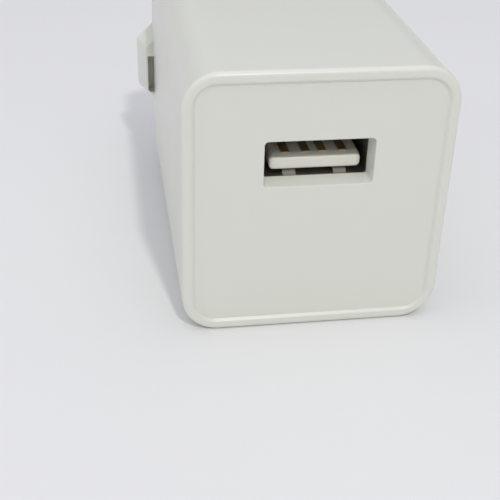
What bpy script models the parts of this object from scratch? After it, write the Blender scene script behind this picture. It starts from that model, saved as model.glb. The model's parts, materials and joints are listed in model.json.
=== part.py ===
"""USB wall charger: a white two-pin wall plug with one USB-A socket.

The charger lies on its lower wall. The socket faces -Y and the mains pins point
to +Y. The origin is the middle of the whole box in X and Y, at the height of the
lower wall. Depths are counted from the front rim towards +Y.
"""
import math

import bmesh
import bpy
from mathutils import Matrix, Vector

MM = 0.001
GAP = 0.3 * MM  # clearance between neighbouring pieces

# Housing
BODY_WIDTH = 32.6 * MM
BODY_HEIGHT = 34.2 * MM
BODY_DEPTH = 52.2 * MM
BODY_CORNER = 4.6 * MM
CORNER_SEGMENTS = 8
RIM_WIDTH = 1.35 * MM
RIM_FILLET = 0.65 * MM
WALL = 2.2 * MM
MID_HEIGHT = BODY_HEIGHT / 2

# Front panel and its socket cut-out
PANEL_RECESS = 0.35 * MM
PANEL_THICKNESS = 1.9 * MM
PORT_RISE = 5.55 * MM  # height of the socket's centre above the body's centre
PORT_WIDTH = 13.2 * MM
PORT_HEIGHT = 5.8 * MM
PORT_CORNER = 0.5 * MM

# Plug base, its side ears and the mains pins
BASE_THICKNESS = 3.8 * MM
BASE_FILLET = 1.5 * MM
SPIGOT_CORNER_SEGMENTS = 4
SPIGOT_LENGTH = 3.0 * MM
SPIGOT_WALL = 1.2 * MM
EAR_HALF_WIDTHS = (17.55 * MM, 18.85 * MM)  # front and rear
EAR_HALF_HEIGHTS = (3.5 * MM, 3.8 * MM)
EAR_CHAMFER = 3.0 * MM
EAR_SETBACK = 0.05 * MM
EAR_LIP = 0.25 * MM
EAR_SLOT_SPAN = (-4.2 * MM, 1.9 * MM)  # slot's ends, from the body's centre
EAR_SLOT_DEPTH = 2.5 * MM
PIN_LENGTH = 19.0 * MM
PIN_RADIUS = 2.0 * MM
PIN_NECK_RADIUS = 1.3 * MM
PIN_HEAD_RADIUS = 2.3 * MM
PIN_HEAD_THICKNESS = 1.0 * MM
PIN_TIP_RADIUS = 1.4 * MM
PIN_TIP_STEPS = 4
PIN_SPACING_BASE = 18.6 * MM
PIN_SPACING_TIP = 17.5 * MM
PIN_SLEEVE_LENGTH = 10.0 * MM
PIN_SLEEVE_RADIUS = 1.9 * MM
PIN_SLEEVE_SEAT = 2.0 * MM  # how far each sleeve sits inside the base
PIN_SEGMENTS = 20
PIN_CONTACT_WIDTH = 3.0 * MM
PIN_CONTACT_THICKNESS = 0.4 * MM
PIN_CONTACT_FOOT = 3.4 * MM
PIN_CONTACT_DROP = 2.0 * MM  # how far it reaches below the pins' axes

# USB-A socket
SHELL_WIDTH = 12.5 * MM  # inside
SHELL_HEIGHT = 5.12 * MM  # inside
SHELL_WALL = 0.3 * MM
SHELL_LENGTH = 13.85 * MM
TONGUE_WIDTH = 11.1 * MM
TONGUE_THICKNESS = 1.84 * MM
TONGUE_LENGTH = 9.6 * MM
TONGUE_RISE = 0.7 * MM  # above the shell's inner floor
TONGUE_RECESS = 0.3 * MM
TONGUE_TIP_ROUND = 0.4 * MM
TONGUE_OVERLAP = 0.5 * MM  # length shared with the block behind it
CONTACT_PLACES = (-3.5 * MM, -1.0 * MM, 1.0 * MM, 3.5 * MM)
CONTACT_WIDTH = 1.0 * MM
CONTACT_THICKNESS = 0.3 * MM
CONTACT_START = 0.8 * MM  # behind the tongue's tip
CONTACT_TAIL_BEHIND = 0.4 * MM  # behind the shell
FINGER_X = 2.95 * MM
FINGER_WIDTH = 1.4 * MM
FINGER_HEIGHT = 0.38 * MM
FINGER_LENGTH = 6.0 * MM
FINGER_START = 0.8 * MM
FINGER_CREST = 0.35  # part of the length that stays raised
FINGER_SUNK = 0.1 * MM  # depth of its foot inside the shell's wall
TAB_LENGTH = 2.0 * MM
TAB_OFFSETS = (-3.0 * MM, 3.5 * MM)  # along the shell, from its middle

# Circuit board and the parts that hang below it
BOARD_THICKNESS = 1.2 * MM
BOARD_START = 4.6 * MM
BOARD_END = 44.6 * MM
RAIL_START = 15.0 * MM
RAIL_END = 44.0 * MM
RAIL_WIDTH = 0.9 * MM
RAIL_HEIGHT = 1.0 * MM
LEAD_RADIUS = 0.3 * MM
LEAD_HOLE_RADIUS = 0.68 * MM
LEAD_RISE = 0.9 * MM  # lead ends above the board
LEAD_SEGMENTS = 8
ROUND_SEGMENTS = 20

# Derived places
FRONT_Y = -(BODY_DEPTH + PIN_LENGTH) / 2
SLEEVE_DEPTH = BODY_DEPTH - BASE_THICKNESS - GAP
PANEL_BACK = PANEL_RECESS + PANEL_THICKNESS
SHELL_FRONT = PANEL_BACK + GAP
SHELL_BACK = SHELL_FRONT + SHELL_LENGTH
PORT_Z = MID_HEIGHT + PORT_RISE
SHELL_FLOOR_Z = PORT_Z - SHELL_HEIGHT / 2
TONGUE_FLOOR_Z = SHELL_FLOOR_Z + TONGUE_RISE
CONTACT_Z = TONGUE_FLOOR_Z + TONGUE_THICKNESS + GAP
BOARD_Z = PORT_Z + SHELL_HEIGHT / 2 + SHELL_WALL + GAP
BOARD_TOP_Z = BOARD_Z + BOARD_THICKNESS
HANG_Z = BOARD_Z - GAP  # top of every part that hangs below the board
LEAD_TOP_Z = BOARD_TOP_Z + LEAD_RISE
SMD_Z = BOARD_TOP_Z + GAP
INNER_HALF_WIDTH = BODY_WIDTH / 2 - WALL
BOARD_HALF_WIDTH = INNER_HALF_WIDTH - GAP

lead_points = []  # (x, depth) of every lead that passes through the board


def at(x, depth, z):
    """World position from a depth behind the front rim."""
    return Vector((x, FRONT_Y + depth, z))


def material(name, colour, roughness, metallic=0.0):
    """Principled material with one colour."""
    result = bpy.data.materials.new(name)
    result.use_nodes = True
    shader = result.node_tree.nodes["Principled BSDF"]
    shader.inputs["Base Color"].default_value = (*colour, 1.0)
    shader.inputs["Roughness"].default_value = roughness
    shader.inputs["Metallic"].default_value = metallic
    return result


def solid(name, bm, location, finish=None):
    """Object from a bmesh whose coordinates are relative to its location."""
    bmesh.ops.recalc_face_normals(bm, faces=bm.faces)
    mesh = bpy.data.meshes.new(name)
    bm.to_mesh(mesh)
    bm.free()
    result = bpy.data.objects.new(name, mesh)
    result.location = location
    if finish:
        mesh.materials.append(finish)
    bpy.context.collection.objects.link(result)
    return result


def combine(target, tool, operation):
    """Apply an exact Boolean of the tool to the target, then drop the tool."""
    modifier = target.modifiers.new(operation.lower(), "BOOLEAN")
    modifier.operation = operation
    modifier.solver = "EXACT"
    modifier.object = tool
    evaluated = target.evaluated_get(bpy.context.evaluated_depsgraph_get())
    target.data = bpy.data.meshes.new_from_object(evaluated)
    target.modifiers.clear()
    bpy.data.objects.remove(tool)


def weld(target, bm, location):
    """Join a shape to the target as one solid."""
    combine(target, solid("joined_shape", bm, location), "UNION")


def carve(target, bm, location):
    """Cut a shape out of the target."""
    combine(target, solid("cutting_shape", bm, location), "DIFFERENCE")


def smooth(target):
    """Shade a round piece smooth and keep its corners sharp."""
    target.data.shade_smooth()
    target.data.set_sharp_from_angle(angle=math.radians(35))


def boxes(*sizes_and_centres):
    """Separate boxes in one bmesh."""
    bm = bmesh.new()
    for size, centre in sizes_and_centres:
        matrix = Matrix.Translation(centre) @ Matrix.Diagonal((*size, 1.0))
        bmesh.ops.create_cube(bm, size=1.0, matrix=matrix)
    return bm


def box(size):
    """Box centred on its location."""
    return boxes((size, (0, 0, 0)))


def edges_in_plane(bm, y):
    """Edges that lie in one plane across Y."""
    return [edge for edge in bm.edges if all(abs(vert.co.y - y) < 1e-7 for vert in edge.verts)]


def end_face(bm, y):
    """The large face that closes a bar in one plane across Y."""
    faces = [face for face in bm.faces if all(abs(vert.co.y - y) < 1e-7 for vert in face.verts)]
    return max(faces, key=lambda face: face.calc_area())


def rounded_bar(size, corner, segments=CORNER_SEGMENTS):
    """Bar along Y with its four long edges rounded."""
    bm = box(size)
    long_edges = [edge for edge in bm.edges if abs(edge.verts[0].co.y - edge.verts[1].co.y) > size[1] / 2]
    bmesh.ops.bevel(bm, geom=long_edges, offset=corner, segments=segments, profile=0.5, affect="EDGES")
    return bm


def round_end(bm, y, radius, segments=3):
    """Fillet the outline of a bar's end face."""
    edges = edges_in_plane(bm, y)
    bmesh.ops.bevel(bm, geom=edges, offset=radius, segments=segments, profile=0.5, affect="EDGES")


def sink(bm, face, distance):
    """Extrude a face along Y and return the moved face."""
    moved = bmesh.ops.extrude_discrete_faces(bm, faces=[face])["faces"][0]
    bmesh.ops.translate(bm, vec=(0, distance, 0), verts=moved.verts)
    return moved


def open_through(bm, front, rear):
    """Join two end faces by a tunnel."""
    edges = list(front.edges) + list(rear.edges)
    bmesh.ops.delete(bm, geom=[front, rear], context="FACES_ONLY")
    bmesh.ops.bridge_loops(bm, edges=edges)


def turned(profile, segments=ROUND_SEGMENTS, axis="Y"):
    """Solid of revolution. The profile lists (radius, place along the axis)."""
    bm = bmesh.new()
    if axis == "Y":
        verts = [bm.verts.new((radius, along, 0)) for radius, along in profile]
        direction = (0, 1, 0)
    else:
        verts = [bm.verts.new((radius, 0, along)) for radius, along in profile]
        direction = (0, 0, 1)
    edges = [bm.edges.new(pair) for pair in zip(verts, verts[1:])]
    bmesh.ops.spin(
        bm, geom=verts + edges, cent=(0, 0, 0), axis=direction,
        angle=math.tau, steps=segments, use_merge=True,
    )
    bmesh.ops.remove_doubles(bm, verts=bm.verts, dist=1e-7)
    return bm


def posts(points, radius, bottom, top):
    """Upright round posts at (x, y) points, in one bmesh."""
    bm = bmesh.new()
    for x, y in points:
        bmesh.ops.create_cone(
            bm, cap_ends=True, segments=LEAD_SEGMENTS, radius1=radius, radius2=radius,
            depth=top - bottom, matrix=Matrix.Translation((x, y, (bottom + top) / 2)),
        )
    return bm


def add_leads(target, x, depth, offsets, start_z):
    """Join upright leads to a part, through the board, and note their places."""
    bm = posts(offsets, LEAD_RADIUS, start_z, LEAD_TOP_Z)
    weld(target, bm, at(x, depth, 0))
    lead_points.extend((x + dx, depth + dy) for dx, dy in offsets)


def build_housing_sleeve(finish):
    """Outer sleeve: a rounded tube with a thick front rim and rails for the board."""
    half = SLEEVE_DEPTH / 2
    bm = rounded_bar((BODY_WIDTH, SLEEVE_DEPTH, BODY_HEIGHT), BODY_CORNER)
    round_end(bm, -half, RIM_FILLET)
    front = end_face(bm, -half)
    bmesh.ops.inset_region(bm, faces=[front], thickness=RIM_WIDTH - RIM_FILLET, use_even_offset=True)
    front = sink(bm, front, PANEL_BACK + GAP)
    bmesh.ops.inset_region(bm, faces=[front], thickness=WALL - RIM_WIDTH, use_even_offset=True)
    rear = end_face(bm, half)
    bmesh.ops.inset_region(bm, faces=[rear], thickness=WALL, use_even_offset=True)
    open_through(bm, front, rear)
    sleeve = solid("housing_sleeve", bm, at(0, half, MID_HEIGHT), finish)

    length = RAIL_END - RAIL_START
    overlap = 0.5 * MM
    size = (RAIL_WIDTH + overlap, length, RAIL_HEIGHT)
    x = INNER_HALF_WIDTH - RAIL_WIDTH + size[0] / 2
    rails = [
        (size, (side * x, 0, z))
        for side in (-1, 1)
        for z in (BOARD_Z - GAP - RAIL_HEIGHT / 2, BOARD_TOP_Z + GAP + RAIL_HEIGHT / 2)
    ]
    weld(sleeve, boxes(*rails), at(0, (RAIL_START + RAIL_END) / 2, 0))
    smooth(sleeve)


def build_front_panel(finish):
    """Flat panel inside the rim, with the socket's cut-out."""
    inset = 2 * (RIM_WIDTH + GAP)
    size = (BODY_WIDTH - inset, PANEL_THICKNESS, BODY_HEIGHT - inset)
    corner = BODY_CORNER - RIM_WIDTH - GAP
    place = at(0, PANEL_RECESS + PANEL_THICKNESS / 2, MID_HEIGHT)
    panel = solid("front_panel", rounded_bar(size, corner), place, finish)
    cut_out = rounded_bar((PORT_WIDTH, 3 * PANEL_THICKNESS, PORT_HEIGHT), PORT_CORNER, 3)
    carve(panel, cut_out, at(0, PANEL_RECESS, PORT_Z))
    smooth(panel)


def ear_outline(half_width, half_height, y):
    """Octagon across the base: two ears with chamfered corners."""
    inner = half_width - EAR_CHAMFER
    outer = half_height + EAR_CHAMFER
    quarter = [(half_width, half_height), (inner, outer)]
    upper = quarter + [(-x, z) for x, z in reversed(quarter)]
    lower = [(x, -z) for x, z in reversed(upper)]
    return [(x, y, z) for x, z in upper + lower]


def ear_bar(length):
    """Bar through the base that flares towards the rear and makes both ears."""
    bm = bmesh.new()
    faces = []
    for half_width, half_height, y in zip(EAR_HALF_WIDTHS, EAR_HALF_HEIGHTS, (-length / 2, length / 2)):
        verts = [bm.verts.new(point) for point in ear_outline(half_width, half_height, y)]
        faces.append(bm.faces.new(verts))
    bmesh.ops.bridge_loops(bm, edges=[edge for face in faces for edge in face.edges])
    return bm


def build_plug_base(finish):
    """Rear cover with a spigot into the sleeve, two side ears and two pin holes."""
    start = BODY_DEPTH - BASE_THICKNESS
    half = BASE_THICKNESS / 2
    bm = rounded_bar((BODY_WIDTH, BASE_THICKNESS, BODY_HEIGHT), BODY_CORNER)
    round_end(bm, half, BASE_FILLET)
    base = solid("plug_base", bm, at(0, start + half, MID_HEIGHT), finish)

    inset = WALL + GAP
    overlap = 1.0 * MM
    size = (BODY_WIDTH - 2 * inset, SPIGOT_LENGTH + overlap, BODY_HEIGHT - 2 * inset)
    spigot = rounded_bar(size, BODY_CORNER - inset, SPIGOT_CORNER_SEGMENTS)
    front = end_face(spigot, -size[1] / 2)
    rear = end_face(spigot, size[1] / 2)
    for face in (front, rear):
        bmesh.ops.inset_region(spigot, faces=[face], thickness=SPIGOT_WALL, use_even_offset=True)
    open_through(spigot, front, rear)
    weld(base, spigot, at(0, start + (overlap - SPIGOT_LENGTH) / 2, MID_HEIGHT))

    ear_length = BASE_THICKNESS - 2 * EAR_SETBACK
    weld(base, ear_bar(ear_length), at(0, start + half, MID_HEIGHT))
    slot_width = EAR_HALF_WIDTHS[0] - EAR_LIP - BODY_WIDTH / 2
    slot_x = BODY_WIDTH / 2 + slot_width / 2
    slot_size = (slot_width, 2 * EAR_SLOT_DEPTH, EAR_SLOT_SPAN[1] - EAR_SLOT_SPAN[0])
    slot_z = MID_HEIGHT + sum(EAR_SLOT_SPAN) / 2
    slots = boxes(*((slot_size, (side * slot_x, 0, 0)) for side in (-1, 1)))
    carve(base, slots, at(0, start + EAR_SETBACK, slot_z))

    neck_hole = PIN_NECK_RADIUS + GAP
    seat = PIN_SLEEVE_RADIUS + GAP
    step = half - PIN_SLEEVE_SEAT - GAP
    hole_profile = [
        (0, -2 * half), (neck_hole, -2 * half), (neck_hole, step),
        (seat, step), (seat, 2 * half), (0, 2 * half),
    ]
    for side in (-1, 1):
        hole = turned(hole_profile, PIN_SEGMENTS)
        carve(base, hole, at(side * PIN_SPACING_BASE / 2, start + half, MID_HEIGHT))
    smooth(base)


def pin_profile():
    """Half section of a mains pin, from its head to its rounded tip."""
    head_start = -BASE_THICKNESS - GAP - PIN_HEAD_THICKNESS
    head_end = -BASE_THICKNESS - GAP
    shoulder = PIN_SLEEVE_LENGTH + GAP
    profile = [
        (0, head_start), (PIN_HEAD_RADIUS, head_start), (PIN_HEAD_RADIUS, head_end),
        (PIN_NECK_RADIUS, head_end), (PIN_NECK_RADIUS, shoulder), (PIN_RADIUS, shoulder),
    ]
    for step in range(PIN_TIP_STEPS + 1):
        angle = math.radians(90 * step / PIN_TIP_STEPS)
        radius = PIN_RADIUS - PIN_TIP_RADIUS * (1 - math.cos(angle))
        profile.append((radius, PIN_LENGTH - PIN_TIP_RADIUS * (1 - math.sin(angle))))
    return profile + [(0, PIN_LENGTH)]


def build_mains_pins(metal, plastic):
    """Two pins that lean slightly towards each other, each with an insulating sleeve."""
    lean = math.atan2((PIN_SPACING_BASE - PIN_SPACING_TIP) / 2, PIN_LENGTH)
    inner = PIN_NECK_RADIUS + GAP
    outer = PIN_SLEEVE_RADIUS
    start = -PIN_SLEEVE_SEAT
    end = PIN_SLEEVE_LENGTH
    ring = [(inner, start), (outer, start), (outer, end), (inner, end), (inner, start)]
    for side, word in ((-1, "left"), (1, "right")):
        place = at(side * PIN_SPACING_BASE / 2, BODY_DEPTH, MID_HEIGHT)
        pin = solid(f"plug_pin_{word}", turned(pin_profile(), PIN_SEGMENTS), place, metal)
        sleeve = solid(f"pin_sleeve_{word}", turned(ring, PIN_SEGMENTS), place, plastic)
        for piece in (pin, sleeve):
            piece.rotation_euler.z = side * lean
            smooth(piece)


def build_pin_contacts(finish):
    """Bent strips that bring the mains from the pins' heads to the board."""
    half = PIN_CONTACT_THICKNESS / 2
    back = BODY_DEPTH - BASE_THICKNESS - 2 * GAP - PIN_HEAD_THICKNESS
    bottom = MID_HEIGHT - PIN_CONTACT_DROP
    upright = HANG_Z - bottom
    for side, word in ((-1, "left"), (1, "right")):
        x = side * PIN_SPACING_BASE / 2
        bm = box((PIN_CONTACT_WIDTH, PIN_CONTACT_THICKNESS, upright))
        strip = solid(f"pin_contact_{word}", bm, at(x, back - half, bottom + upright / 2), finish)
        foot = box((PIN_CONTACT_WIDTH, PIN_CONTACT_FOOT, PIN_CONTACT_THICKNESS))
        weld(strip, foot, at(x, back - PIN_CONTACT_FOOT / 2, HANG_Z - half))


def build_usb_shell(finish):
    """Sheet metal shell with spring fingers and tabs up to the board."""
    outer = (SHELL_WIDTH + 2 * SHELL_WALL, SHELL_LENGTH, SHELL_HEIGHT + 2 * SHELL_WALL)
    middle = SHELL_FRONT + SHELL_LENGTH / 2
    shell = solid("usb_shell", rounded_bar(outer, 2 * SHELL_WALL, 2), at(0, middle, PORT_Z), finish)
    inner = (SHELL_WIDTH, 2 * SHELL_LENGTH, SHELL_HEIGHT)
    carve(shell, rounded_bar(inner, SHELL_WALL, 2), at(0, middle, PORT_Z))

    tab_x = SHELL_WIDTH / 2 + SHELL_WALL / 2
    tab_bottom = PORT_Z
    tab_size = (SHELL_WALL * 0.9, TAB_LENGTH, LEAD_TOP_Z - tab_bottom)
    places = [(side * tab_x, along, 0) for side in (-1, 1) for along in TAB_OFFSETS]
    tabs = boxes(*((tab_size, place) for place in places))
    weld(shell, tabs, at(0, middle, (tab_bottom + LEAD_TOP_Z) / 2))

    finger_middle = SHELL_FRONT + FINGER_START + FINGER_LENGTH / 2
    for side in (-1, 1):
        for face in (-1, 1):
            bm = box((FINGER_WIDTH, FINGER_LENGTH, FINGER_HEIGHT + FINGER_SUNK))
            inner_verts = [vert for vert in bm.verts if vert.co.z * face < 0]
            bmesh.ops.scale(bm, vec=(1, FINGER_CREST, 1), verts=inner_verts)
            z = PORT_Z + face * (SHELL_HEIGHT / 2 + (FINGER_SUNK - FINGER_HEIGHT) / 2)
            weld(shell, bm, at(side * FINGER_X, finger_middle, z))
    return [(place[0], middle + place[1]) for place in places]


def build_usb_insulator(finish):
    """Moulded block with the tongue, and channels that the contacts run through."""
    front = SHELL_FRONT + TONGUE_RECESS
    size = (TONGUE_WIDTH, TONGUE_LENGTH, TONGUE_THICKNESS)
    bm = box(size)
    round_end(bm, -TONGUE_LENGTH / 2, TONGUE_TIP_ROUND, 2)
    place = at(0, front + TONGUE_LENGTH / 2, TONGUE_FLOOR_Z + TONGUE_THICKNESS / 2)
    insulator = solid("usb_insulator", bm, place, finish)

    block_start = front + TONGUE_LENGTH - TONGUE_OVERLAP
    block_length = SHELL_BACK - GAP - block_start
    block = box((SHELL_WIDTH - 2 * GAP, block_length, SHELL_HEIGHT - 2 * GAP))
    weld(insulator, block, at(0, block_start + block_length / 2, PORT_Z))
    channel = (CONTACT_WIDTH + 2 * GAP, 3 * block_length, CONTACT_THICKNESS + 2 * GAP)
    channels = boxes(*((channel, (x, 0, 0)) for x in CONTACT_PLACES))
    carve(insulator, channels, at(0, SHELL_BACK, CONTACT_Z + CONTACT_THICKNESS / 2))


def build_usb_contacts(finish):
    """Strips along the tongue that turn up through the board behind the shell."""
    start = SHELL_FRONT + TONGUE_RECESS + CONTACT_START
    end = SHELL_BACK + CONTACT_TAIL_BEHIND + CONTACT_THICKNESS
    strip = (CONTACT_WIDTH, end - start, CONTACT_THICKNESS)
    tail_height = LEAD_TOP_Z - CONTACT_Z
    tail = (CONTACT_WIDTH * 0.6, CONTACT_THICKNESS, tail_height)
    tail_depth = end - CONTACT_THICKNESS / 2
    for number, x in enumerate(CONTACT_PLACES, start=1):
        place = at(x, (start + end) / 2, CONTACT_Z + CONTACT_THICKNESS / 2)
        contact = solid(f"usb_contact_{number}", box(strip), place, finish)
        weld(contact, box(tail), at(x, tail_depth, CONTACT_Z + tail_height / 2))
        lead_points.append((x, tail_depth))


def build_transformer(ferrite, bobbin_plastic, tape):
    """Core, bobbin with its terminal rails, and the taped winding."""
    depth = 26.0 * MM
    core_size = (16.0 * MM, 14.2 * MM, 4.8 * MM)
    leg = 2.1 * MM  # thickness of the core's outer legs
    centre_leg = 4.0 * MM
    flange_thickness = 0.8 * MM
    flange_half_height = 6.5 * MM
    rail_height = 3.3 * MM
    rail_depth = 3.4 * MM
    z = HANG_Z - flange_half_height
    place = at(0, depth, z)

    core = solid("transformer_core", box(core_size), place, ferrite)
    window_width = (core_size[0] - centre_leg) / 2 - leg
    window_length = core_size[1] - 2 * leg
    window = (window_width, window_length, 2 * core_size[2])
    window_x = (centre_leg + window_width) / 2
    carve(core, boxes(*((window, (side * window_x, 0, 0)) for side in (-1, 1))), place)

    hole = (centre_leg + 2 * GAP, 2 * core_size[1], core_size[2] + 2 * GAP)
    barrel_wall = 0.6 * MM
    length = window_length - 2 * GAP
    flange = (centre_leg + 2 * window_width - 2 * GAP, flange_thickness, 2 * flange_half_height)
    barrel = (hole[0] + 2 * barrel_wall, length - flange_thickness, hole[2] + 2 * barrel_wall)
    flange_y = (length - flange_thickness) / 2
    bm = boxes(*((flange, (0, side * flange_y, 0)) for side in (-1, 1)))
    bobbin = solid("transformer_bobbin", bm, place, bobbin_plastic)
    weld(bobbin, box(barrel), place)
    rail = (core_size[0], rail_depth, rail_height)
    rail_y = flange_y + (rail_depth - flange_thickness) / 2
    rail_z = flange_half_height - rail_height / 2
    weld(bobbin, boxes(*((rail, (0, side * rail_y, rail_z)) for side in (-1, 1))), place)
    carve(bobbin, box(hole), place)
    terminals = [(x, side * rail_y) for side in (-1, 1) for x in (-6.0 * MM, 0, 6.0 * MM)]
    add_leads(bobbin, 0, depth, terminals, HANG_Z - 1.0 * MM)

    winding_length = length - 2 * flange_thickness - 2 * GAP
    outer = (flange[0] - 2 * GAP, winding_length, 2 * flange_half_height - 2 * rail_height + 6.0 * MM)
    winding = solid("transformer_winding", rounded_bar(outer, 2.0 * MM, 3), place, tape)
    opening = (barrel[0] + 2 * GAP, 2 * winding_length, barrel[2] + 2 * GAP)
    carve(winding, box(opening), place)
    smooth(winding)


def build_can(name, radius, length, x, depth, pitch, finish):
    """Round can that hangs from the board on two leads."""
    edge = 0.5 * MM
    profile = [
        (0, 0), (radius - edge, 0), (radius - edge / 4, edge / 4), (radius, edge),
        (radius, length - edge), (radius - edge, length), (0, length),
    ]
    can = solid(name, turned(profile, axis="Z"), at(x, depth, HANG_Z - length), finish)
    add_leads(can, x, depth, [(-pitch / 2, 0), (pitch / 2, 0)], HANG_Z - 1.0 * MM)
    smooth(can)


def build_disc(name, radius, thickness, x, depth, pitch, finish):
    """Dipped disc that hangs edge-on from the board on two leads."""
    centre_z = HANG_Z - radius - 1.0 * MM
    edge = thickness * 0.3
    half = thickness / 2
    profile = [
        (0, -half), (radius - edge, -half), (radius, -half + edge),
        (radius, half - edge), (radius - edge, half), (0, half),
    ]
    bm = turned(profile)
    bmesh.ops.rotate(bm, verts=bm.verts, cent=(0, 0, 0), matrix=Matrix.Rotation(math.pi / 2, 3, "Z"))
    disc = solid(name, bm, at(x, depth, centre_z), finish)
    add_leads(disc, x, depth, [(0, -pitch / 2), (0, pitch / 2)], centre_z)
    smooth(disc)


def build_fusible_resistor(finish):
    """Round body along Y with a lead bent up from each end."""
    x = -11.0 * MM
    depth = 29.0 * MM
    radius = 1.7 * MM
    length = 7.0 * MM
    pitch = 9.6 * MM
    z = HANG_Z - radius - 1.0 * MM
    half = length / 2
    waist = radius * 0.8
    profile = [
        (0, -half), (radius * 0.8, -half), (radius, -half + radius / 2), (waist, -half / 2),
        (waist, half / 2), (radius, half - radius / 2), (radius * 0.8, half), (0, half),
    ]
    resistor = solid("fusible_resistor", turned(profile), at(x, depth, z), finish)
    weld(resistor, box((2 * LEAD_RADIUS, pitch, 2 * LEAD_RADIUS)), at(x, depth, z))
    ends = [(0, -pitch / 2), (0, pitch / 2)]
    add_leads(resistor, x, depth, ends, z - LEAD_RADIUS)
    smooth(resistor)


def build_chip(name, size, x, depth, lead_rows, finish):
    """Moulded package on top of the board, with flat feet along two sides."""
    stand_off = 0.2 * MM
    chip = solid(name, box(size), at(x, depth, SMD_Z + stand_off + size[2] / 2), finish)
    foot_width = 0.5 * MM
    foot_length = 1.2 * MM
    foot_height = stand_off + size[2] / 2
    foot = (foot_length, foot_width, foot_height)
    pitch = size[1] / lead_rows
    feet = [
        (foot, (side * size[0] / 2, (row - (lead_rows - 1) / 2) * pitch, 0))
        for side in (-1, 1)
        for row in range(lead_rows)
    ]
    weld(chip, boxes(*feet), at(x, depth, SMD_Z + foot_height / 2))


def build_small_blocks(name, size, places, finish):
    """Numbered surface-mounted blocks, each its own object."""
    for number, (x, depth) in enumerate(places, start=1):
        solid(f"{name}_{number}", box(size), at(x, depth, SMD_Z + size[2] / 2), finish)


def build_insulation_barrier(finish):
    """Thin upright sheet between the mains side and the socket side."""
    size = (24.0 * MM, 0.5 * MM, 20.0 * MM)
    depth = SHELL_BACK + 1.55 * MM
    solid("insulation_barrier", box(size), at(0, depth, HANG_Z - size[2] / 2), finish)


def build_main_board(tab_points, finish):
    """Board with a round hole for every lead and a slot for every shell tab."""
    size = (2 * BOARD_HALF_WIDTH, BOARD_END - BOARD_START, BOARD_THICKNESS)
    middle_z = BOARD_Z + BOARD_THICKNESS / 2
    board = solid("main_board", box(size), at(0, (BOARD_START + BOARD_END) / 2, middle_z), finish)
    holes = posts(lead_points, LEAD_HOLE_RADIUS, -BOARD_THICKNESS, BOARD_THICKNESS)
    carve(board, holes, at(0, 0, middle_z))
    slot = (SHELL_WALL + 2 * GAP, TAB_LENGTH + 2 * GAP, 2 * BOARD_THICKNESS)
    slots = boxes(*((slot, (x, depth, 0)) for x, depth in tab_points))
    carve(board, slots, at(0, 0, middle_z))


def build_charger():
    """All pieces of the charger."""
    for old in list(bpy.data.objects):
        bpy.data.objects.remove(old)

    white = material("white_plastic", (0.80, 0.80, 0.78), 0.28)
    black = material("black_plastic", (0.03, 0.03, 0.03), 0.5)
    nickel = material("nickel", (0.75, 0.74, 0.70), 0.25, 1.0)
    steel = material("steel", (0.62, 0.62, 0.60), 0.3, 1.0)
    gold = material("gold_plate", (0.83, 0.62, 0.25), 0.25, 1.0)
    ivory = material("ivory_plastic", (0.78, 0.77, 0.68), 0.4)
    ferrite = material("ferrite", (0.05, 0.05, 0.055), 0.6)
    tape = material("yellow_tape", (0.85, 0.65, 0.08), 0.4)
    can_sleeve = material("can_sleeve", (0.04, 0.05, 0.09), 0.35)
    blue = material("blue_ceramic", (0.06, 0.18, 0.50), 0.45)
    green = material("board_green", (0.05, 0.22, 0.09), 0.4)
    brown = material("brown_ceramic", (0.35, 0.20, 0.10), 0.5)
    clear = material("barrier_sheet", (0.85, 0.83, 0.75), 0.3)

    build_housing_sleeve(white)
    build_front_panel(white)
    build_plug_base(white)
    build_mains_pins(nickel, black)
    build_pin_contacts(steel)
    tab_points = build_usb_shell(steel)
    build_usb_insulator(ivory)
    build_usb_contacts(gold)
    build_transformer(ferrite, black, tape)

    can_row = 38.2 * MM
    build_can("input_capacitor_1", 4.0 * MM, 18.0 * MM, -8.8 * MM, can_row, 3.5 * MM, can_sleeve)
    build_can("input_capacitor_2", 4.0 * MM, 18.0 * MM, 0, can_row, 3.5 * MM, can_sleeve)
    build_can("input_choke", 3.5 * MM, 10.0 * MM, 8.8 * MM, can_row, 3.5 * MM, green)
    for number, x in enumerate((-10.3 * MM, 10.3 * MM), start=1):
        build_can(f"output_capacitor_{number}", 3.15 * MM, 14.0 * MM, x, 8.8 * MM, 2.5 * MM, can_sleeve)
    build_fusible_resistor(green)
    build_disc("y_capacitor", 4.0 * MM, 3.2 * MM, 11.0 * MM, 23.0 * MM, 5.0 * MM, blue)
    build_disc("snubber_capacitor", 2.8 * MM, 2.4 * MM, 11.0 * MM, 30.5 * MM, 3.6 * MM, brown)

    build_chip("bridge_rectifier", (6.4 * MM, 4.8 * MM, 2.4 * MM), -4.4 * MM, 42.0 * MM, 2, black)
    build_chip("switching_ic", (3.9 * MM, 4.9 * MM, 1.5 * MM), 3.0 * MM, 33.4 * MM, 4, black)
    build_chip("output_rectifier", (4.3 * MM, 3.6 * MM, 2.0 * MM), -3.0 * MM, 12.6 * MM, 1, black)
    resistor_size = (1.6 * MM, 0.8 * MM, 0.5 * MM)
    resistor_places = [(x * MM, depth * MM) for x in (-9.0, -6.4, 8.2) for depth in (28.0, 33.6)]
    build_small_blocks("smd_resistor", resistor_size, resistor_places, black)
    capacitor_size = (2.0 * MM, 1.25 * MM, 1.0 * MM)
    capacitor_places = [(x * MM, depth * MM) for x in (1.8, 4.6) for depth in (10.6, 13.6)]
    build_small_blocks("smd_capacitor", capacitor_size, capacitor_places, brown)
    build_insulation_barrier(clear)
    build_main_board(tab_points, green)


build_charger()
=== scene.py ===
# Looks of a USB wall charger: a white housing sleeve with a raised front rim, a front
# panel with a USB-A socket, and a plug base with two side ears and two mains pins.
# Lengths are metres in the frame's own axes: the socket faces -Y, the pins point to +Y
# and the charger lies on its lower wall. A depth is counted from the front rim to +Y.
import json
import math

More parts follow.
